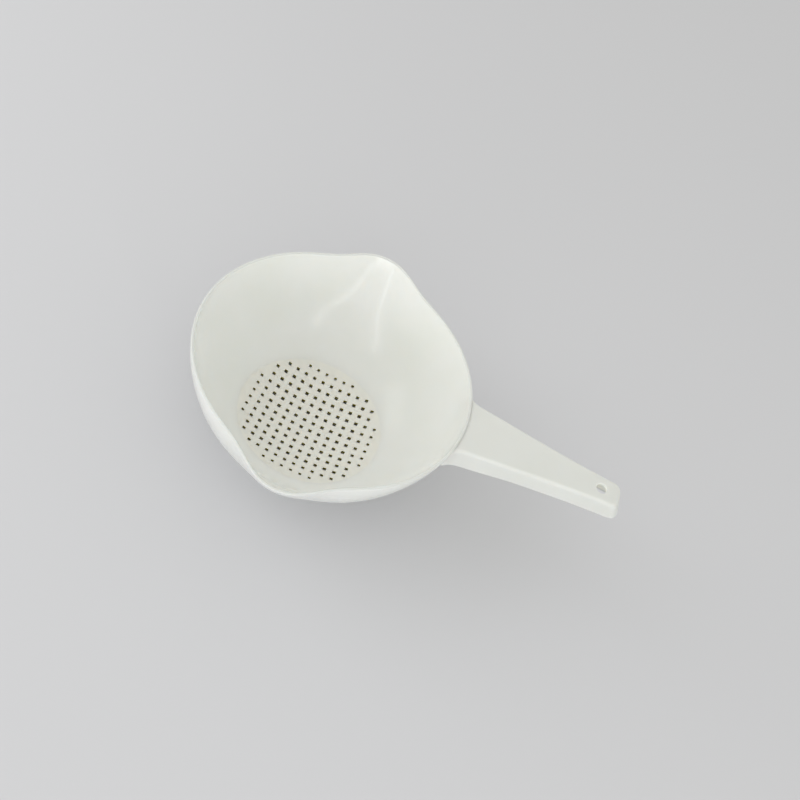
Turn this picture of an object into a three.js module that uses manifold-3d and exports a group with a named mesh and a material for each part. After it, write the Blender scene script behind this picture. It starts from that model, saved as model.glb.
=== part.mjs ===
// Two-spouted strainer with a channel handle: one plastic moulding, given as its named regions.
// Millimetres, +Z up. The handle points along +X and the pouring spouts along +Y and -Y.
// Everything is drawn about the bowl's axis, with z = 0 at the middle of the floor's upper face,
// and the finished group is moved so that the origin is under the middle of the part.
import * as THREE from "three";
import { mergeGeometries, mergeVertices } from "three/addons/utils/BufferGeometryUtils.js";
import Module from "manifold-3d";

const wasm = await Module();
wasm.setup();

const GAP = 0.3; // clearance between neighbouring regions
const ROUND_STEPS = 72; // sides of every round piece
const CLEAR = 200; // well outside the bowl in every direction

// Perforated floor: a shallow dish with a square grid of square holes
const FLOOR_RADIUS = 53.8;
const DISH_RADIUS = 168;
const FLOOR_THICKNESS = 2;
const FLOOR_STEPS = 4;
const PITCH = 7.2;
const HOLES_ACROSS = 14;
const HOLE_SIDE = 2.5;
const PATTERN_RADIUS = 7.2 * PITCH;
const OUTER_ROW_SCALE = 0.78; // the grid's outermost lines have smaller holes
const NEXT_ROW_SCALE = 0.9;

// Bowl wall and its rim
const BOWL_DEPTH = 80.5;
const WALL_THICKNESS = 2.1;
const WALL_STEPS = 9;
const HAUNCH = [77.2, 17.3]; // the two pull points of the wall's curve, as radius and height
const SHOULDER = [95.5, 54.5];
const RIM_INNER_RADIUS = 97.7;
const RIM_OUTER_RADIUS = 99.9;
const LIP_HEIGHT = 3;
const LIP_ROUND = 0.9;
const LIP_ROUND_STEPS = 3;

// Pouring spouts: a bulge of the wall that fades out downwards and to both sides
const SPOUT_REACH = 15.8;
const SPOUT_SPREAD = 15; // degrees
const SPOUT_FLANK = 2.2; // a higher power gives a blunter tip and steeper sides
const SPOUT_FOOT_Z = 28.8;
const SPOUT_FADE = 1.3;
const SPOUT_HALF_WIDTH = 46;

// Ring that the bowl stands on
const FOOT_DROP = 4; // below the floor's lowest upper point
const FOOT_INNER_RADIUS = 54.4;
const FOOT_THICKNESS = 2.4;

// Handle: an inverted channel, a flat top with a skirt round its edge
const HANDLE_ROOT_X = 88; // buried end, cut back to the bowl's surface
const HANDLE_START_X = 100;
const HANDLE_TIP_X = 219.6;
const HANDLE_START_Z = 79.9;
const HANDLE_TIP_Z = 84.2;
const NOSE_LENGTH = 8; // the top curves down over this length at the tip
const NOSE_DROP = 7;
const NOSE_STEPS = 5;
const PLATE_THICKNESS = 2.2;
const SKIRT_THICKNESS = 2;
const SKIRT_DEPTH = 13.7;
const SKIRT_ROOT_DEPTH = 16.2;
const SKIRT_EVEN_X = 150; // the skirt has its plain depth from here to the tip
const SKIRT_STEPS = 9;
const SKIRT_SPREAD = 1.04; // draft of the skirt's sides
const SKIRT_TIP_SPREAD = 1.025;
const HANG_HOLE_X = 203;
const HANG_HOLE_RADIUS = 4;
const HANG_HOLE_STEPS = 24;

const FLOOR_EDGE_Z = dishHeight(FLOOR_RADIUS);
const CENTRE_X = ((HANDLE_TIP_X - HANDLE_START_X) * SKIRT_TIP_SPREAD + HANDLE_START_X - RIM_OUTER_RADIUS) / 2;

function dishHeight(radius) {
  return DISH_RADIUS - Math.sqrt(DISH_RADIUS ** 2 - radius ** 2);
}

// Moves each point of a profile to its right-hand side by a distance.
function offsetProfile(points, distance) {
  return points.map((point, index) => {
    const before = points[Math.max(index - 1, 0)];
    const after = points[Math.min(index + 1, points.length - 1)];
    const along = after.clone().sub(before).normalize();
    return new THREE.Vector2(point.x + along.y * distance, point.y - along.x * distance);
  });
}

function wallProfile() {
  const start = new THREE.Vector2(FLOOR_RADIUS, FLOOR_EDGE_Z);
  const end = new THREE.Vector2(RIM_INNER_RADIUS, BOWL_DEPTH - LIP_HEIGHT - GAP);
  const lower = new THREE.Vector2(...HAUNCH);
  const upper = new THREE.Vector2(...SHOULDER);
  return new THREE.CubicBezierCurve(start, lower, upper, end).getPoints(WALL_STEPS);
}

function floorProfile() {
  const points = [];
  for (let step = 0; step <= FLOOR_STEPS; step += 1) {
    const radius = ((FLOOR_RADIUS - GAP) * step) / FLOOR_STEPS;
    points.push(new THREE.Vector2(radius, dishHeight(radius)));
  }
  return points;
}

// Turns a closed profile of (radius, height) points, listed clockwise, about the Z axis.
function turned(profile) {
  const geometry = new THREE.LatheGeometry([...profile].reverse(), ROUND_STEPS);
  geometry.rotateX(Math.PI / 2);
  return geometry;
}

function closedProfile(upper, lower) {
  const points = [...upper, ...lower.slice().reverse()];
  if (points[0].x > 0) {
    points.push(points[0].clone());
  }
  return points;
}

function spoutBulge(angle, height) {
  const climb = THREE.MathUtils.clamp((height - SPOUT_FOOT_Z) / (BOWL_DEPTH - SPOUT_FOOT_Z), 0, 1);
  const away = Math.abs(Math.abs(THREE.MathUtils.radToDeg(angle)) - 90) / SPOUT_SPREAD;
  return SPOUT_REACH * Math.exp(-(away ** SPOUT_FLANK)) * climb ** SPOUT_FADE;
}

// Pushes a turned geometry outwards at the two spouts.
function withSpouts(geometry) {
  const place = geometry.getAttribute("position");
  for (let index = 0; index < place.count; index += 1) {
    const x = place.getX(index);
    const y = place.getY(index);
    const radius = Math.hypot(x, y);
    const grow = 1 + spoutBulge(Math.atan2(y, x), place.getZ(index)) / radius;
    place.setXY(index, x * grow, y * grow);
  }
  return geometry;
}

function solid(geometry) {
  const bare = geometry.clone();
  bare.deleteAttribute("normal");
  bare.deleteAttribute("uv");
  const merged = mergeVertices(bare, 1e-4);
  const vertProperties = new Float32Array(merged.getAttribute("position").array);
  const triVerts = new Uint32Array(merged.getIndex().array);
  return new wasm.Manifold(new wasm.Mesh({ numProp: 3, vertProperties, triVerts }));
}

function fromSolid(body) {
  const mesh = body.getMesh();
  const geometry = new THREE.BufferGeometry();
  geometry.setAttribute("position", new THREE.BufferAttribute(mesh.vertProperties, 3));
  geometry.setIndex(new THREE.BufferAttribute(mesh.triVerts, 1));
  return geometry;
}

function floorHoles() {
  const middle = (HOLES_ACROSS - 1) / 2;
  const holes = [];
  for (let column = 0; column < HOLES_ACROSS; column += 1) {
    for (let row = 0; row < HOLES_ACROSS; row += 1) {
      const x = (column - middle) * PITCH;
      const y = (row - middle) * PITCH;
      if (Math.hypot(x, y) > PATTERN_RADIUS) {
        continue;
      }
      const line = Math.max(Math.abs(column - middle), Math.abs(row - middle));
      const scale = line === middle ? OUTER_ROW_SCALE : line === middle - 1 ? NEXT_ROW_SCALE : 1;
      const side = HOLE_SIDE * scale;
      holes.push(new THREE.BoxGeometry(side, side, 4 * FLOOR_EDGE_Z).translate(x, y, 0));
    }
  }
  return mergeGeometries(holes);
}

function sieveFloor() {
  const upper = floorProfile();
  const lower = offsetProfile(upper, FLOOR_THICKNESS);
  lower[0].x = 0;
  const dish = solid(turned(closedProfile(upper, lower)));
  return fromSolid(dish.subtract(solid(floorHoles())));
}

function wholeWall() {
  const inner = wallProfile();
  const outer = offsetProfile(inner, WALL_THICKNESS);
  return solid(withSpouts(turned(closedProfile(inner, outer))));
}

// The stretch of wall inside a block of space; each range is [low, high].
function wallStretch([lowX, highX], [lowY, highY], [lowZ, highZ]) {
  const block = new THREE.BoxGeometry(highX - lowX, highY - lowY, highZ - lowZ);
  block.translate((lowX + highX) / 2, (lowY + highY) / 2, (lowZ + highZ) / 2);
  return fromSolid(wholeWall().intersect(solid(block)));
}

function bowlBase() {
  return wallStretch([-CLEAR, CLEAR], [-CLEAR, CLEAR], [-CLEAR, SPOUT_FOOT_Z - GAP]);
}

function frontWall() {
  return wallStretch([SPOUT_HALF_WIDTH + GAP, CLEAR], [-CLEAR, CLEAR], [SPOUT_FOOT_Z, CLEAR]);
}

function backWall() {
  return wallStretch([-CLEAR, -SPOUT_HALF_WIDTH - GAP], [-CLEAR, CLEAR], [SPOUT_FOOT_Z, CLEAR]);
}

function rightSpout() {
  return wallStretch([-SPOUT_HALF_WIDTH, SPOUT_HALF_WIDTH], [0, CLEAR], [SPOUT_FOOT_Z, CLEAR]);
}

function leftSpout() {
  return wallStretch([-SPOUT_HALF_WIDTH, SPOUT_HALF_WIDTH], [-CLEAR, 0], [SPOUT_FOOT_Z, CLEAR]);
}

// Points of the rim's rounded edge, from one side to its top, as (radius, height).
function lipRound(side, inwards) {
  const points = [];
  for (let step = 0; step <= LIP_ROUND_STEPS; step += 1) {
    const turn = ((step / LIP_ROUND_STEPS) * Math.PI) / 2;
    const x = side + inwards * LIP_ROUND * (1 - Math.cos(turn));
    points.push(new THREE.Vector2(x, BOWL_DEPTH - LIP_ROUND * (1 - Math.sin(turn))));
  }
  return points;
}

function rimLip() {
  const low = BOWL_DEPTH - LIP_HEIGHT;
  return withSpouts(turned([
    new THREE.Vector2(RIM_INNER_RADIUS, low),
    ...lipRound(RIM_INNER_RADIUS, 1),
    ...lipRound(RIM_OUTER_RADIUS, -1).reverse(),
    new THREE.Vector2(RIM_OUTER_RADIUS, low),
    new THREE.Vector2(RIM_INNER_RADIUS, low),
  ]));
}

function footRing() {
  const outerRadius = FOOT_INNER_RADIUS + FOOT_THICKNESS;
  const wallSlope = (HAUNCH[1] - FLOOR_EDGE_Z) / (HAUNCH[0] - FLOOR_RADIUS);
  const underside = (radius) => {
    const drop = (WALL_THICKNESS + GAP) * Math.hypot(1, wallSlope);
    return FLOOR_EDGE_Z + (radius - FLOOR_RADIUS) * wallSlope - drop;
  };
  return turned([
    new THREE.Vector2(FOOT_INNER_RADIUS, -FOOT_DROP),
    new THREE.Vector2(FOOT_INNER_RADIUS, underside(FOOT_INNER_RADIUS)),
    new THREE.Vector2(outerRadius, underside(outerRadius)),
    new THREE.Vector2(outerRadius, -FOOT_DROP),
    new THREE.Vector2(FOOT_INNER_RADIUS, -FOOT_DROP),
  ]);
}

// The handle's outline on its +Y side, from the buried root to the middle of the tip.
function handleSide() {
  const side = new THREE.Path();
  side.moveTo(HANDLE_ROOT_X, 28.6);
  side.lineTo(95.5, 27.4);
  side.quadraticCurveTo(98.5, 23.2, 107, 22.2);
  side.bezierCurveTo(135, 18.9, 170, 13.6, 205, 11.1);
  side.lineTo(209, 10.85);
  side.bezierCurveTo(217, 10.6, HANDLE_TIP_X, 9.4, HANDLE_TIP_X, 0);
  return side.getPoints(8);
}

function mirrored(points) {
  return points.slice(0, -1).reverse().map((point) => new THREE.Vector2(point.x, -point.y));
}

function wholeOutline(inset) {
  const side = offsetProfile(handleSide(), inset);
  side[side.length - 1].y = 0;
  return [...side, ...mirrored(side)];
}

// Height of the handle's flat top, carried on to the tip.
function topLine(x) {
  const along = (x - HANDLE_START_X) / (HANDLE_TIP_X - HANDLE_START_X);
  return THREE.MathUtils.lerp(HANDLE_START_Z, HANDLE_TIP_Z, along);
}

function skirtDepth(x) {
  const rise = THREE.MathUtils.smoothstep(x, HANDLE_START_X, SKIRT_EVEN_X);
  return THREE.MathUtils.lerp(SKIRT_ROOT_DEPTH, SKIRT_DEPTH, rise);
}

// (x, z) points along the handle's top, lowered by a distance, and down the curved nose.
function topEdge(lowered) {
  const start = HANDLE_TIP_X - NOSE_LENGTH;
  const points = [new THREE.Vector2(HANDLE_ROOT_X, topLine(HANDLE_ROOT_X) - lowered)];
  for (let step = 0; step <= NOSE_STEPS; step += 1) {
    const turn = (step / NOSE_STEPS) * (Math.PI / 2);
    const x = start + (NOSE_LENGTH - lowered) * Math.sin(turn);
    const drop = (NOSE_DROP - lowered) * (1 - Math.cos(turn));
    points.push(new THREE.Vector2(x, topLine(x) - lowered - drop));
  }
  return points;
}

// (x, z) points along the skirt's lower edge, from the tip to the root.
function lowEdge() {
  const places = [HANDLE_TIP_X];
  for (let step = 0; step <= SKIRT_STEPS; step += 1) {
    places.push(THREE.MathUtils.lerp(SKIRT_EVEN_X, HANDLE_ROOT_X, step / SKIRT_STEPS));
  }
  return places.map((x) => new THREE.Vector2(x, topLine(x) - skirtDepth(x)));
}

// A solid with a given side view, wide enough to cross the whole handle.
function sideView(points) {
  const slab = new THREE.ExtrudeGeometry(new THREE.Shape(points), { depth: CLEAR, bevelEnabled: false });
  slab.translate(0, 0, -CLEAR / 2);
  slab.rotateX(Math.PI / 2);
  return solid(slab);
}

// A solid with the handle's outline, moved inwards by a distance, and upright sides.
function upright(inset) {
  const shape = new THREE.Shape(wholeOutline(inset));
  return solid(new THREE.ExtrudeGeometry(shape, { depth: CLEAR, bevelEnabled: false }));
}

// The space between two lines that run along the handle under its top.
function layer(upperDrop, lowerDrop) {
  const far = HANDLE_TIP_X + CLEAR;
  return sideView([
    new THREE.Vector2(HANDLE_ROOT_X, topLine(HANDLE_ROOT_X) - upperDrop),
    new THREE.Vector2(HANDLE_ROOT_X, topLine(HANDLE_ROOT_X) - lowerDrop),
    new THREE.Vector2(far, topLine(far) - lowerDrop),
    new THREE.Vector2(far, topLine(far) - upperDrop),
  ]);
}

function wholeChannel() {
  const outer = upright(0).intersect(sideView([...topEdge(0), ...lowEdge()]));
  const ceiling = topEdge(PLATE_THICKNESS);
  const endX = ceiling[ceiling.length - 1].x;
  const cavity = sideView([...ceiling, new THREE.Vector2(endX, 0), new THREE.Vector2(HANDLE_ROOT_X, 0)]);
  return outer.subtract(upright(SKIRT_THICKNESS).intersect(cavity));
}

// Leans the skirt outwards: a point moves more the deeper it lies under the handle's top.
function withDraft(geometry) {
  const place = geometry.getAttribute("position");
  for (let index = 0; index < place.count; index += 1) {
    const x = place.getX(index);
    const share = THREE.MathUtils.clamp((topLine(x) - place.getZ(index)) / skirtDepth(x), 0, 1);
    const along = (x - HANDLE_START_X) * (SKIRT_TIP_SPREAD - 1) * share;
    place.setX(index, x + along);
    place.setY(index, place.getY(index) * (1 + (SKIRT_SPREAD - 1) * share));
  }
  return geometry;
}

// Solid space that the bowl takes up, with clearance, which cuts the handle's root.
function bowlEnvelope() {
  const outer = offsetProfile(wallProfile(), WALL_THICKNESS + GAP);
  const rim = RIM_OUTER_RADIUS + GAP;
  return solid(turned([
    new THREE.Vector2(0, 2 * BOWL_DEPTH),
    new THREE.Vector2(rim, 2 * BOWL_DEPTH),
    new THREE.Vector2(rim, BOWL_DEPTH - LIP_HEIGHT - GAP),
    ...outer.slice().reverse(),
    new THREE.Vector2(0, 0),
  ]));
}

function handleTop() {
  const plate = withDraft(fromSolid(wholeChannel().intersect(layer(-CLEAR, PLATE_THICKNESS))));
  const hole = new THREE.CylinderGeometry(HANG_HOLE_RADIUS, HANG_HOLE_RADIUS, CLEAR, HANG_HOLE_STEPS);
  hole.rotateX(Math.PI / 2).translate(HANG_HOLE_X, 0, CLEAR / 2);
  return fromSolid(solid(plate).subtract(bowlEnvelope()).subtract(solid(hole)));
}

function handleSkirt() {
  const skirt = wholeChannel().intersect(layer(PLATE_THICKNESS + GAP, CLEAR));
  return fromSolid(solid(withDraft(fromSolid(skirt))).subtract(bowlEnvelope()));
}

const model = new THREE.Group();

function addPart(name, geometry, color, roughness) {
  const material = new THREE.MeshStandardMaterial({ color, roughness, metalness: 0 });
  const mesh = new THREE.Mesh(geometry, material);
  mesh.name = name;
  model.add(mesh);
}

addPart("sieve_floor", sieveFloor(), 0xd9dbd3, 0.35);
addPart("bowl_base", bowlBase(), 0xd8dad2, 0.35);
addPart("front_wall", frontWall(), 0xdcded8, 0.35);
addPart("back_wall", backWall(), 0xdcded8, 0.35);
addPart("spout_right", rightSpout(), 0xdddfda, 0.3);
addPart("spout_left", leftSpout(), 0xd6d8cc, 0.3);
addPart("rim_lip", rimLip(), 0xeff0ee, 0.3);
addPart("foot_ring", footRing(), 0xd9dbd3, 0.4);
addPart("handle_top", handleTop(), 0xd7d8d3, 0.4);
addPart("handle_skirt", handleSkirt(), 0xe0e1dd, 0.4);

model.position.set(-CENTRE_X, 0, FOOT_DROP);

export default model;
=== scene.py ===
"""Looks of the two-spouted strainer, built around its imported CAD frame.

The strainer is one moulding, so the bowl is one continuous shell, and the handle and the foot
ring are shells whose ends are buried in it. Lengths are in millimetres about the bowl's axis, with
z = 0 at the middle of the floor's upper face, and place() turns them into the frame's metres.
"""

import math

import bmesh
import bpy
from mathutils import Matrix, Vector
from mathutils.geometry import delaunay_2d_cdt, interpolate_bezier


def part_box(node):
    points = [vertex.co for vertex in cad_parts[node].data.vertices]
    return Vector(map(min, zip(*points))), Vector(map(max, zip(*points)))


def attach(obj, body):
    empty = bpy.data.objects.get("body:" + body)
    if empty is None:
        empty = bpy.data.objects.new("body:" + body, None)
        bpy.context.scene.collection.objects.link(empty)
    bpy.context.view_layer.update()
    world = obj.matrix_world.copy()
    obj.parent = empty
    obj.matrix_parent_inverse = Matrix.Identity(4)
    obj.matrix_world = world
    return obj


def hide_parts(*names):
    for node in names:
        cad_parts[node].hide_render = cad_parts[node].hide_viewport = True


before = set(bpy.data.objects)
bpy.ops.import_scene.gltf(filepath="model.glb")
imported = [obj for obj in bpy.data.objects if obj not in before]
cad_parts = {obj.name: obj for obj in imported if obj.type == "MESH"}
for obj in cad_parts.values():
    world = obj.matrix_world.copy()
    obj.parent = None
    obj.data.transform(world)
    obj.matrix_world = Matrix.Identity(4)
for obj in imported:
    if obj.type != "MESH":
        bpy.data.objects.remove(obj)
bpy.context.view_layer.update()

MM = 0.001
SHARP_ANGLE = math.radians(50)
FOOT_LOW, FOOT_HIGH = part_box("foot_ring")
FLOOR_LOW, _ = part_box("sieve_floor")
RIM_LOW, RIM_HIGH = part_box("rim_lip")
_, SKIRT_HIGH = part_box("handle_skirt")

# Wall and floor
FLOOR_THICKNESS = 2.0
WALL_THICKNESS = 2.1
AXIS = Vector(((FOOT_LOW.x + FOOT_HIGH.x) / 2, 0, FLOOR_LOW.z + FLOOR_THICKNESS * MM))
FLOOR_RADIUS = 53.8
DISH_RADIUS = 168.0
BOWL_DEPTH = (RIM_HIGH.z - AXIS.z) / MM
RIM_OUTER = (RIM_HIGH.x - RIM_LOW.x) / 2 / MM
RIM_INNER = RIM_OUTER - WALL_THICKNESS
RIM_ROUND = 0.9
HAUNCH = (77.2, 17.3)  # the two pull points of the wall's curve, as radius and height
SHOULDER = (95.5, 54.5)
ROUND_STEPS = 256
WALL_ROWS = 48
RIM_STEPS = 5  # in each of the rim's two quarter turns

# Holes of the sieve
PITCH = 7.2
HOLES_ACROSS = 14
HOLE_SIDE = 2.5
PATTERN_RADIUS = 7.2 * PITCH
OUTER_ROW_SCALE = 0.78
NEXT_ROW_SCALE = 0.9
HOLE_CORNER = 0.3
HOLE_EDGE = 0.16
HOLE_EDGE_STEPS = 3

# Pouring spouts
SPOUT_REACH = 15.8
SPOUT_SPREAD = 15.0  # degrees
SPOUT_FLANK = 2.2
SPOUT_FOOT_Z = 28.8
SPOUT_FADE = 1.3

# Handle
HANDLE_START_X = 100.0
HANDLE_TIP_X = 219.6
HANDLE_START_Z = 79.9
HANDLE_TIP_Z = 84.2
NOSE_LENGTH = 8.0  # the top curves down over this length at the tip
NOSE_DROP = 7.0
NOSE_SHARE = 0.95  # of that length, past which the top drops no further
PLATE_THICKNESS = 2.2
SKIRT_THICKNESS = 2.0
SKIRT_DEPTH = 13.7
SKIRT_ROOT_DEPTH = 16.2
SKIRT_EVEN_X = 150.0  # the skirt has its plain depth from here to the tip
SKIRT_SPREAD = 1.04  # draft of the skirt's sides
SKIRT_REACH_X = (SKIRT_HIGH.x - AXIS.x) / MM  # of the skirt's lower edge, past the top's tip
TOP_ROUND = 2.6
EDGE_ROUND = 0.8
INNER_ROUND = 0.6
HANG_HOLE_X = 203.0
HANG_HOLE_RADIUS = 4.0
HANG_HOLE_EDGE = 0.4
HANG_HOLE_STEPS = 32
SIDE_STEPS = 40  # points on each curve of the handle's side
HANDLE_COLUMNS = 90  # from the root to the middle of the tip
TIP_CROWDING = 0.5  # how much closer the columns lie at the root and the tip
ROOT_STEPS = 24
HALVINGS = 40  # of the search for the root
NOSE_STEPS = 12
SECTION_STEPS = 5  # rows on each side of the skirt, and on its inner rounding
TOP_ROUND_STEPS = 6
EDGE_ROUND_STEPS = 4

# Foot ring
FOOT_BOTTOM = (FOOT_LOW.z - AXIS.z) / MM
FOOT_INNER = 54.4
FOOT_THICKNESS = 2.4
FOOT_ROUND = 0.6
FOOT_ROUND_STEPS = 4

# Camera, from the bowl's axis
CAMERA_PLACE = (5.35, -448.6, 599.7)
CAMERA_TARGET = (56.443, 62.209, 0.09)
CAMERA_ROLL = 30.57  # degrees
CAMERA_LENS = 45.04

# Plastic: noises as scale, detail and roughness; bump depth and the studio's lengths in metres
CLOUDS = (22, 3, 0.5)
GLOSS_MARKS = (260, 4, 0.6)
GLOSS_RANGE = (-0.04, 0.06)  # of the roughness, about its plain value
GRAIN = (700, 3, 0.55)
GRAIN_DEPTH = 0.0002
GRAIN_STRENGTH = 0.03
NOISE_RANGE = (0.3, 0.7)  # the part of a noise that is used
PLASTIC_IOR = 1.5
SCATTER_WEIGHT = 0.9
SCATTER_SCALE = 0.004
SCATTER_RADIUS = (0.85, 0.92, 1.0)

# Painted light and shade: colours of the points that the meshes mark
# painted shade darkens the rim to dim its bright edge and turns the sieve's hole walls dark olive;
# painted light brightens the sieve's upper face
BOWL_PAINTED_LIGHT_AND_SHADE = {"rim": (0.62, 0.625, 0.6), "sieve": (0.832, 0.832, 0.768),
              "hollow_painted_shade_and_light": (0.28, 0.24, 0.04)}
# painted light brightens the inside of the handle's skirts and the lower half of its hang hole
HANDLE_PAINTED_LIGHT = {"hollow_painted_shade_and_light": (0.93, 0.94, 0.84)}

# Studio: name, azimuth and elevation in degrees, distance, size and watts of each lamp
LAMPS = [
    ("side", 180, 30, 1.3, (0.9, 0.9), 3.3),
    ("low_front", -85, 8, 2.2, (1.7, 0.5), 10.9),
    ("high_front", -90, 50, 1.3, (1.0, 1.0), 0.85),
    ("strip_right", -55, 22, 1.3, (0.05, 0.45), 0.58),
    ("strip_left", -115, 22, 1.3, (0.05, 0.4), 0.55),
]
LAMP_COLOUR = (0.97, 0.985, 1.0)
SKY_COLOUR = (1, 1, 0.96, 1)
SKY_STRENGTH = 0.85
STUDIO_REACH = 20.0
STUDIO_COLOUR = (0.61, 0.61, 0.635, 1)
STUDIO_ROUGHNESS = 0.9


def place(x, y, z):
    """A point about the bowl's axis, in millimetres, as a point of the frame, in metres."""
    return AXIS + Vector((x, y, z)) * MM


# ---------------------------------------------------------------- mesh building

class Skin:
    """The points and faces of one closed mesh while it is being built."""

    def __init__(self):
        self.points = []
        self.faces = []
        self.painted_marks = {}

    def row(self, points):
        first = len(self.points)
        self.points.extend(place(*p) for p in points)
        return list(range(first, len(self.points)))

    def bands(self, rows, closed=True):
        """Four-sided faces between each row and the next."""
        for upper, lower in zip(rows, rows[1:]):
            count = len(upper)
            for i in range(count if closed else count - 1):
                j = (i + 1) % count
                self.faces.append((upper[i], lower[i], lower[j], upper[j]))

    def mark(self, name, rows):
        """Notes the points of some rows for the material's painted light and shade, under a name.
        """
        self.painted_marks.setdefault(name, []).extend(point for row in rows for point in row)

    def patch(self, triangles, indices):
        self.faces.extend(tuple(indices[k] for k in triangle) for triangle in triangles)

    def build(self, name):
        mesh = bpy.data.meshes.new(name)
        mesh.from_pydata(self.points, [], self.faces)
        facing = bmesh.new()
        facing.from_mesh(mesh)
        bmesh.ops.recalc_face_normals(facing, faces=facing.faces)
        facing.to_mesh(mesh)
        facing.free()
        for mark, points in self.painted_marks.items():
            values = mesh.attributes.new(mark, "FLOAT", "POINT").data
            for point in points:
                values[point].value = 1
        mesh.shade_smooth()
        mesh.set_sharp_from_angle(angle=SHARP_ANGLE)
        piece = bpy.data.objects.new(name, mesh)
        bpy.context.scene.collection.objects.link(piece)
        weighted = piece.modifiers.new("even_normals", "WEIGHTED_NORMAL")
        weighted.keep_sharp = True
        return piece


def triangles_inside(outline, holes):
    """Triangles that fill a flat outline but not its holes, as indices into outline + holes."""
    points = [Vector(p) for p in outline]
    loops = [list(range(len(outline)))]
    for hole in holes:
        loops.append(list(range(len(points), len(points) + len(hole))))
        points.extend(Vector(p) for p in hole)
    edges = [(loop[i - 1], loop[i]) for loop in loops for i in range(len(loop))]
    owner = {k: number for number, loop in enumerate(loops) for k in loop}
    _, _, faces, sources, _, _ = delaunay_2d_cdt(points, edges, [], 1, 1e-6)
    corners = [[sources[k][0] for k in face] for face in faces]
    return [c for c in corners if owner[c[0]] == 0 or len({owner[k] for k in c}) > 1]


def rounding(steps):
    """(sine, 1 - cosine) pairs through a quarter turn, both ends included."""
    turns = [math.pi / 2 * i / steps for i in range(steps + 1)]
    return [(math.sin(t), 1 - math.cos(t)) for t in turns]


# ---------------------------------------------------------------- bowl

def dish_height(radius):
    return DISH_RADIUS - math.sqrt(DISH_RADIUS ** 2 - radius ** 2)


def underside_height(radius):
    slant = DISH_RADIUS / math.sqrt(DISH_RADIUS ** 2 - radius ** 2)
    return dish_height(radius) - FLOOR_THICKNESS * slant


def spout_bulge(angle, z):
    """How far a spout pushes the wall out in a direction and at a height."""
    climb = min(max((z - SPOUT_FOOT_Z) / (BOWL_DEPTH - SPOUT_FOOT_Z), 0.0), 1.0)
    away = abs(abs(math.degrees(angle)) - 90.0) / SPOUT_SPREAD
    return SPOUT_REACH * math.exp(-away ** SPOUT_FLANK) * climb ** SPOUT_FADE


def wall_profile():
    """(radius, height) points up the wall's inner face, from the floor to the start of the rim."""
    start = (FLOOR_RADIUS, dish_height(FLOOR_RADIUS))
    end = (RIM_INNER, BOWL_DEPTH - RIM_ROUND)
    knots = [Vector((r, z, 0)) for r, z in (start, HAUNCH, SHOULDER, end)]
    return [(p.x, p.y) for p in interpolate_bezier(*knots, WALL_ROWS)]


def offset(profile, distance):
    """A profile moved to its right-hand side by a distance."""
    moved = []
    for i, (r, z) in enumerate(profile):
        before = profile[max(i - 1, 0)]
        after = profile[min(i + 1, len(profile) - 1)]
        share = distance / math.dist(before, after)
        moved.append((r + (after[1] - before[1]) * share, z - (after[0] - before[0]) * share))
    return moved


def wall_radius(z):
    """Radius of the round wall at a height, in the middle of its thickness."""
    profile = wall_profile()
    for (r0, z0), (r1, z1) in zip(profile, profile[1:]):
        if z <= z1:
            return r0 + (r1 - r0) * (z - z0) / (z1 - z0) + WALL_THICKNESS / 2
    return RIM_INNER + WALL_THICKNESS / 2


def ring(radius, z):
    """Points once round the bowl's axis at one height, pushed out at the spouts."""
    points = []
    for step in range(ROUND_STEPS):
        angle = 2 * math.pi * step / ROUND_STEPS - math.pi
        reach = radius + spout_bulge(angle, z)
        points.append((reach * math.cos(angle), reach * math.sin(angle), z))
    return points


def square_loop(x, y, side):
    """One square hole's outline, each corner turned in three points."""
    reach = side / 2 - HOLE_CORNER
    points = []
    for quarter in range(4):
        corner_x = reach if quarter in (0, 3) else -reach
        corner_y = reach if quarter in (0, 1) else -reach
        for part in (0, 0.5, 1):
            turn = (quarter + part) * math.pi / 2
            points.append((x + corner_x + HOLE_CORNER * math.cos(turn),
                           y + corner_y + HOLE_CORNER * math.sin(turn)))
    return points


def sieve_holes():
    """(x, y, side) of each hole of the sieve."""
    middle = (HOLES_ACROSS - 1) / 2
    scales = {middle: OUTER_ROW_SCALE, middle - 1: NEXT_ROW_SCALE}
    holes = []
    for column in range(HOLES_ACROSS):
        for row in range(HOLES_ACROSS):
            x, y = (column - middle) * PITCH, (row - middle) * PITCH
            line = max(abs(column - middle), abs(row - middle))
            if math.hypot(x, y) <= PATTERN_RADIUS:
                holes.append((x, y, HOLE_SIDE * scales.get(line, 1)))
    return holes


def hole_rows(skin, x, y, side):
    """One hole's rows, from the upper face over a rounded edge down to the lower face."""
    upper = rounding(HOLE_EDGE_STEPS)
    rows = []
    for face, sign, turn in ((dish_height, -1, upper), (underside_height, 1, upper[::-1])):
        for sine, sunk in turn:
            loop = square_loop(x, y, side + 2 * HOLE_EDGE * (1 - sine))
            heights = [face(math.hypot(*p)) + sign * HOLE_EDGE * sunk for p in loop]
            rows.append(skin.row([(*p, z) for p, z in zip(loop, heights)]))
    skin.bands(rows)
    # painted light on the mouth of each hole, painted shade down its wall
    skin.mark("sieve", rows[:2])
    skin.mark("hollow_painted_shade_and_light", rows[2:-1])
    return rows


def rim_profile():
    """(radius, height) points over the rim, without the two where it meets the wall's faces."""
    start = BOWL_DEPTH - RIM_ROUND
    turn = rounding(RIM_STEPS)
    inner = [(RIM_INNER + RIM_ROUND * back, start + RIM_ROUND * up) for up, back in turn]
    outer = [(RIM_OUTER - RIM_ROUND * back, start + RIM_ROUND * up) for up, back in turn[::-1]]
    return (inner + outer)[1:-1]


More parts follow.
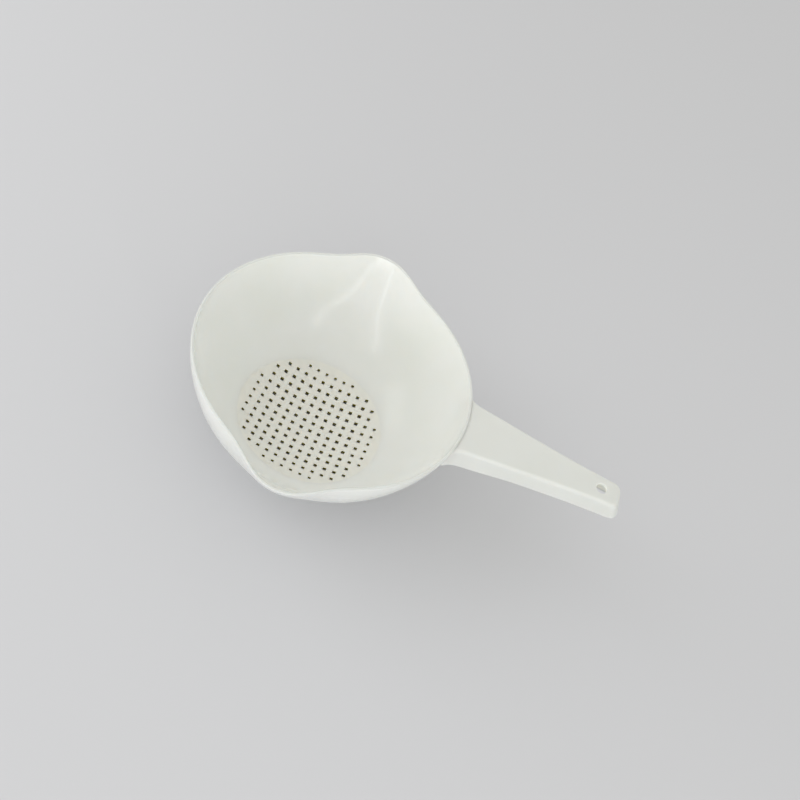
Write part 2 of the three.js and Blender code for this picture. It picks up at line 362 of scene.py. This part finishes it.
def make_bowl():
    skin = Skin()
    inner, rim = wall_profile(), rim_profile()
    outer = offset(inner, WALL_THICKNESS)
    below = [(FLOOR_RADIUS, underside_height(FLOOR_RADIUS))]
    rows = [skin.row(ring(r, z)) for r, z in inner + rim + outer[::-1] + below]
    skin.bands(rows)
    # painted light on the floor's edge, painted shade over the rim
    skin.mark("sieve", rows[:1])
    skin.mark("rim", rows[len(inner):len(inner) + len(rim)])

    holes = sieve_holes()
    outline = [(x, y) for x, y, _ in ring(FLOOR_RADIUS, dish_height(FLOOR_RADIUS))]
    mouths = [square_loop(x, y, side + 2 * HOLE_EDGE) for x, y, side in holes]
    triangles = triangles_inside(outline, mouths)
    upper, lower = list(rows[0]), list(rows[-1])
    for hole in holes:
        walls = hole_rows(skin, *hole)
        upper += walls[0]
        lower += walls[-1]
    skin.patch(triangles, upper)
    skin.patch(triangles, lower)
    return skin.build("bowl_shell")


def make_foot_ring():
    """The ring's lower part, with its upper end buried half-way into the bowl's shell."""
    outer = FOOT_INNER + FOOT_THICKNESS
    slope = (HAUNCH[1] - dish_height(FLOOR_RADIUS)) / (HAUNCH[0] - FLOOR_RADIUS)

    def buried(radius):
        return dish_height(FLOOR_RADIUS) + (radius - FLOOR_RADIUS) * slope - WALL_THICKNESS / 2

    turn = rounding(FOOT_ROUND_STEPS)
    profile = [(outer, buried(outer))]
    profile += [(outer - FOOT_ROUND * sunk, FOOT_BOTTOM + FOOT_ROUND * (1 - sine))
                for sine, sunk in turn]
    profile += [(FOOT_INNER + FOOT_ROUND * sunk, FOOT_BOTTOM + FOOT_ROUND * (1 - sine))
                for sine, sunk in turn[::-1]]
    profile.append((FOOT_INNER, buried(FOOT_INNER)))
    skin = Skin()
    rows = [skin.row(ring(r, z)) for r, z in profile]
    skin.bands(rows + rows[:1])
    return skin.build("foot_ring_shell")


# ---------------------------------------------------------------- handle

def top_line(x):
    """Height of the handle's flat top, carried on to the tip."""
    along = (x - HANDLE_START_X) / (HANDLE_TIP_X - HANDLE_START_X)
    return HANDLE_START_Z + (HANDLE_TIP_Z - HANDLE_START_Z) * along


def plate_height(x):
    """Height of the handle's top, which curves down at the tip."""
    reach = min(max((x - HANDLE_TIP_X) / NOSE_LENGTH + 1, 0.0), NOSE_SHARE)
    return top_line(x) - NOSE_DROP * (1 - math.sqrt(1 - reach * reach))


def skirt_height(x):
    along = min(max((x - HANDLE_START_X) / (SKIRT_EVEN_X - HANDLE_START_X), 0.0), 1.0)
    rise = along * along * (3 - 2 * along)
    return top_line(x) - SKIRT_ROOT_DEPTH + (SKIRT_ROOT_DEPTH - SKIRT_DEPTH) * rise


def handle_side():
    """The handle's outline on its +Y side, from inside the bowl to the middle of the tip."""
    curves = [
        ((88, 28.6), (91, 28.4), (93, 28.1), (95.5, 27.4)),
        ((95.5, 27.4), (98.5, 24.0), (102, 22.9), (107, 22.2)),
        ((107, 22.2), (135, 18.9), (170, 13.6), (205, 11.1)),
        ((205, 11.1), (206.5, 11.0), (208, 10.93), (209, 10.85)),
        ((209, 10.85), (217, 10.6), (HANDLE_TIP_X, 9.4), (HANDLE_TIP_X, 0)),
    ]
    points = []
    for curve in curves:
        steps = interpolate_bezier(*(Vector((x, y, 0)) for x, y in curve), SIDE_STEPS)
        points += [(p.x, p.y) for p in steps][1 if points else 0:]
    return points


SIDE = handle_side()
SIDE_LENGTHS = [0.0]
for before, after in zip(SIDE, SIDE[1:]):
    SIDE_LENGTHS.append(SIDE_LENGTHS[-1] + math.dist(before, after))


def side_point(length, inset):
    """The point this far along the handle's side, moved inwards."""
    length = min(max(length, 0.0), SIDE_LENGTHS[-1])
    i = next(k for k in range(1, len(SIDE)) if SIDE_LENGTHS[k] >= length)
    (x0, y0), (x1, y1) = SIDE[i - 1], SIDE[i]
    step = SIDE_LENGTHS[i] - SIDE_LENGTHS[i - 1]
    share = (length - SIDE_LENGTHS[i - 1]) / step
    x, y = x0 + (x1 - x0) * share, y0 + (y1 - y0) * share
    return x + (y1 - y0) / step * inset, y - (x1 - x0) / step * inset


def root_length(inset, radius):
    """How far along the side the outline leaves a circle about the bowl's axis."""
    low, high = 0.0, SIDE_LENGTHS[-1] / 2
    for _ in range(HALVINGS):
        middle = (low + high) / 2
        if math.hypot(*side_point(middle, inset)) < radius:
            low = middle
        else:
            high = middle
    return high


def handle_outline(inset, radius, share):
    """Points from the root on +Y round the tip to -Y, at a share of the skirt's depth."""
    start = root_length(inset, radius)
    span = SIDE_LENGTHS[-1] - start
    shares = [i / HANDLE_COLUMNS for i in range(HANDLE_COLUMNS + 1)]
    eased = [s - TIP_CROWDING * math.sin(2 * math.pi * s) / (2 * math.pi) for s in shares]
    side = [side_point(start + span * s, inset) for s in eased]
    side[-1] = (side[-1][0], 0.0)
    stretch = (SKIRT_REACH_X - HANDLE_TIP_X) / (HANDLE_TIP_X - HANDLE_START_X) * share
    spread = 1 + (SKIRT_SPREAD - 1) * share
    side = [(x + (x - HANDLE_START_X) * stretch, y * spread) for x, y in side]
    return side + [(x, -y) for x, y in side[-2::-1]]


def handle_section():
    """(inset, down, share) points: each lies down + share * depth under the plate's top."""
    edge = rounding(EDGE_ROUND_STEPS)
    flat = SKIRT_THICKNESS - EDGE_ROUND
    low = PLATE_THICKNESS + INNER_ROUND
    shares = [step / (SECTION_STEPS + 1) for step in range(1, SECTION_STEPS + 1)]
    section = [(TOP_ROUND * (1 - s), TOP_ROUND * c, 0) for s, c in rounding(TOP_ROUND_STEPS)]
    section += [(0, TOP_ROUND * (1 - t) - EDGE_ROUND * t, t) for t in shares]
    section += [(EDGE_ROUND * c, EDGE_ROUND * (s - 1), 1) for s, c in edge]
    section += [(flat + EDGE_ROUND * (1 - c), EDGE_ROUND * (s - 1), 1) for s, c in edge[::-1]]
    section += [(SKIRT_THICKNESS, low * (1 - t) - EDGE_ROUND * t, t) for t in shares[::-1]]
    section += [(SKIRT_THICKNESS + INNER_ROUND * c, PLATE_THICKNESS + INNER_ROUND * (1 - s), 0)
                for s, c in rounding(SECTION_STEPS - 1)]
    return section


def root_arc(start, end):
    """Points between the outline's two ends on the circle that they lie on."""
    radius = math.hypot(*start)
    first, last = math.atan2(start[1], start[0]), math.atan2(end[1], end[0])
    turns = [first + (last - first) * i / ROOT_STEPS for i in range(1, ROOT_STEPS)]
    return [(radius * math.cos(t), radius * math.sin(t)) for t in turns]


def hang_loop(radius):
    turns = [2 * math.pi * i / HANG_HOLE_STEPS for i in range(HANG_HOLE_STEPS)]
    return [(HANG_HOLE_X + radius * math.cos(t), radius * math.sin(t)) for t in turns]


def cover_plate(skin, outline, row, mouth, down):
    """Faces of the plate's upper or lower side: a flat part round the hang hole, then the nose."""
    tip = len(outline) // 2
    start = next(i for i, (x, _) in enumerate(outline) if x >= HANDLE_TIP_X - NOSE_LENGTH - 1)

    def across(i):
        x, y = outline[i]
        inner = [(x, y * (1 - 2 * j / NOSE_STEPS)) for j in range(1, NOSE_STEPS)]
        indices = skin.row([(*point, plate_height(x) - down) for point in inner])
        return inner, [row[i], *indices, row[-1 - i]]

    inner, line = across(start)
    arc = root_arc(outline[-1], outline[0])
    arc_row = skin.row([(x, y, plate_height(x) - down) for x, y in arc])
    edge = outline[:start + 1] + inner + outline[len(outline) - 1 - start:] + arc
    indices = row[:start] + line + row[len(row) - start:] + arc_row
    hole = hang_loop(HANG_HOLE_RADIUS + HANG_HOLE_EDGE)
    skin.patch(triangles_inside(edge, [hole]), indices + mouth)
    for i in range(start + 1, tip):
        following = across(i)[1]
        skin.bands([line, following], closed=False)
        line = following
    skin.faces += [(a, row[tip], b) for a, b in zip(line, line[1:])]
    return arc_row


def channel_rows(skin):
    """The handle's outlines and rows, over its top edge, down its skirt and up the inside."""
    outlines, rows = [], []
    for inset, down, share in handle_section():
        radius = wall_radius(HANDLE_START_Z - down - share * SKIRT_ROOT_DEPTH)
        outline = handle_outline(inset, radius, share)
        outlines.append(outline)
        rows.append(skin.row([
            (x, y, plate_height(x) - down - share * (plate_height(x) - skirt_height(x)))
            for x, y in outline]))
    skin.bands(rows, closed=False)
    return outlines, rows


def hang_hole_rows(skin):
    """Rows down the hang hole, whose two edges are rounded."""
    turn = rounding(HOLE_EDGE_STEPS)
    loops = [(HANG_HOLE_RADIUS + HANG_HOLE_EDGE * (1 - s), HANG_HOLE_EDGE * c) for s, c in turn]
    loops += [(radius, PLATE_THICKNESS - down) for radius, down in loops[::-1]]
    rows = [skin.row([(x, y, plate_height(x) - down) for x, y in hang_loop(radius)])
            for radius, down in loops]
    skin.bands(rows)
    return rows


def make_handle():
    skin = Skin()
    outlines, rows = channel_rows(skin)
    mouths = hang_hole_rows(skin)
    # painted light inside the skirts and down the hang hole's lower half
    skin.mark("hollow_painted_shade_and_light", rows[-2 * SECTION_STEPS:] + mouths[HOLE_EDGE_STEPS:])
    upper = cover_plate(skin, outlines[0], rows[0], mouths[0], 0.0)
    lower = cover_plate(skin, outlines[-1], rows[-1], mouths[-1], PLATE_THICKNESS)

    upper_arc = [rows[0][-1], *upper, rows[0][0]]
    lower_arc = [rows[-1][-1], *lower, rows[-1][0]]
    skin.bands([upper_arc, lower_arc], closed=False)
    skin.faces.append(tuple(row[0] for row in rows))
    skin.faces.append(tuple(row[-1] for row in reversed(rows)))
    return skin.build("handle_shell")


# ---------------------------------------------------------------- materials

class Surface:
    """A material's nodes while they are being built."""

    def __init__(self, name):
        self.material = bpy.data.materials.new(name)
        self.material.use_nodes = True
        self.nodes = self.material.node_tree.nodes
        self.links = self.material.node_tree.links
        self.shader = self.nodes["Principled BSDF"]
        self.place = self.nodes.new("ShaderNodeTexCoord").outputs["Object"]

    def noise(self, scale, detail, roughness):
        node = self.nodes.new("ShaderNodeTexNoise")
        node.inputs["Scale"].default_value = scale
        node.inputs["Detail"].default_value = detail
        node.inputs["Roughness"].default_value = roughness
        self.links.new(self.place, node.inputs["Vector"])
        return node.outputs["Fac"]

    def spread(self, value, low, high):
        """A noise's middle range, stretched to run from low to high."""
        node = self.nodes.new("ShaderNodeMapRange")
        node.inputs["From Min"].default_value = NOISE_RANGE[0]
        node.inputs["From Max"].default_value = NOISE_RANGE[1]
        node.inputs["To Min"].default_value = low
        node.inputs["To Max"].default_value = high
        self.links.new(value, node.inputs["Value"])
        return node.outputs["Result"]

    def blend(self, factor, second):
        """A mix towards a second colour; its first colour is still to be set."""
        node = self.nodes.new("ShaderNodeMix")
        node.data_type = "RGBA"
        node.inputs["B"].default_value = (*second, 1)
        self.links.new(factor, node.inputs["Factor"])
        return node

    def marked(self, colour, painted_marks):
        """A colour changed at the points that the mesh has marked, to each mark's own painted
        light and shade.
        """
        for mark, second in painted_marks.items():
            where = self.nodes.new("ShaderNodeAttribute")
            where.attribute_name = mark
            mix = self.blend(where.outputs["Fac"], second)
            self.links.new(colour, mix.inputs["A"])
            colour = mix.outputs["Result"]
        return colour


def plastic(name, colour, deep, roughness, gloss, painted_marks):
    """Milky natural plastic: cloudy colour, an uneven gloss and a fine grain, with painted light
    and shade at the points that the mesh has marked.
    """
    surface = Surface(name)
    sockets = surface.shader.inputs
    clouds = surface.blend(surface.spread(surface.noise(*CLOUDS), 0, 1), deep)
    clouds.inputs["A"].default_value = (*colour, 1)
    surface.links.new(surface.marked(clouds.outputs["Result"], painted_marks), sockets["Base Color"])
    low, high = (roughness + change for change in GLOSS_RANGE)
    surface.links.new(surface.spread(surface.noise(*GLOSS_MARKS), low, high), sockets["Roughness"])

    bump = surface.nodes.new("ShaderNodeBump")
    bump.inputs["Strength"].default_value = GRAIN_STRENGTH
    bump.inputs["Distance"].default_value = GRAIN_DEPTH
    surface.links.new(surface.noise(*GRAIN), bump.inputs["Height"])
    surface.links.new(bump.outputs["Normal"], sockets["Normal"])

    sockets["Subsurface Weight"].default_value = SCATTER_WEIGHT
    sockets["Subsurface Radius"].default_value = SCATTER_RADIUS
    sockets["Subsurface Scale"].default_value = SCATTER_SCALE
    sockets["IOR"].default_value = PLASTIC_IOR
    sockets["Specular IOR Level"].default_value = gloss
    return surface.material


def dress(piece, material, slot, *nodes):
    piece.data.materials.append(material)
    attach(piece, "root")
    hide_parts(*nodes)


bowl_plastic = plastic("bowl_plastic", (0.79, 0.793, 0.772), (0.765, 0.772, 0.735),
                       roughness=0.2, gloss=0.5, painted_marks=BOWL_PAINTED_LIGHT_AND_SHADE)
# painted shade: the handle's plastic is a darker copy of the bowl's, though both are one moulding
handle_plastic = plastic("handle_plastic", (0.7, 0.705, 0.68), (0.68, 0.685, 0.655),
                         roughness=0.5, gloss=0.2, painted_marks=HANDLE_PAINTED_LIGHT)
dress(make_bowl(), bowl_plastic, "bowl_plastic", "sieve_floor", "bowl_base", "front_wall",
      "back_wall", "spout_right", "spout_left", "rim_lip")
dress(make_foot_ring(), bowl_plastic, "bowl_plastic", "foot_ring")
dress(make_handle(), handle_plastic, "handle_plastic", "handle_top", "handle_skirt")


# ---------------------------------------------------------------- studio

def make_floor():
    size = STUDIO_REACH
    mesh = bpy.data.meshes.new("studio_floor")
    corners = [(-size, -size, 0), (size, -size, 0), (size, size, 0), (-size, size, 0)]
    mesh.from_pydata(corners, [], [(0, 1, 2, 3)])
    floor = bpy.data.objects.new("studio_floor", mesh)
    bpy.context.scene.collection.objects.link(floor)
    material = bpy.data.materials.new("studio_floor")
    material.use_nodes = True
    shader = material.node_tree.nodes["Principled BSDF"]
    shader.inputs["Base Color"].default_value = STUDIO_COLOUR
    shader.inputs["Roughness"].default_value = STUDIO_ROUGHNESS
    mesh.materials.append(material)


def soft_light(name, azimuth, elevation, distance, size, power):
    """An area light aimed at the bowl from a direction; angles in degrees, lengths in metres."""
    turn, lift = math.radians(azimuth), math.radians(elevation)
    level = math.cos(lift)
    away = Vector((math.cos(turn) * level, math.sin(turn) * level, math.sin(lift)))
    light = bpy.data.lights.new(name, "AREA")
    light.shape = "RECTANGLE"
    light.size, light.size_y = size
    light.energy = power
    light.color = LAMP_COLOUR
    lamp = bpy.data.objects.new(name, light)
    lamp.location = AXIS + away * distance
    lamp.rotation_euler = away.to_track_quat("Z", "Y").to_euler()
    bpy.context.scene.collection.objects.link(lamp)


def make_camera():
    eye, target = place(*CAMERA_PLACE), place(*CAMERA_TARGET)
    forward = (target - eye).normalized()
    level = forward.cross(Vector((0, 0, 1))).normalized()
    upright = level.cross(forward)
    roll = math.radians(CAMERA_ROLL)
    right = level * math.cos(roll) + upright * math.sin(roll)
    up = upright * math.cos(roll) - level * math.sin(roll)
    camera = bpy.data.objects.new("camera", bpy.data.cameras.new("camera"))
    camera.data.lens = CAMERA_LENS
    camera.data.sensor_width = 36
    camera.data.clip_start = 0.01
    turn = Matrix((right, up, -forward)).transposed().to_4x4()
    camera.matrix_world = Matrix.Translation(eye) @ turn
    bpy.context.scene.collection.objects.link(camera)
    bpy.context.scene.camera = camera


make_floor()
make_camera()
for lamp in LAMPS:
    soft_light(*lamp)

world = bpy.data.worlds.new("studio")
world.use_nodes = True
world.node_tree.nodes["Background"].inputs["Color"].default_value = SKY_COLOUR
world.node_tree.nodes["Background"].inputs["Strength"].default_value = SKY_STRENGTH
bpy.context.scene.world = world
bpy.context.scene.view_settings.view_transform = "Standard"
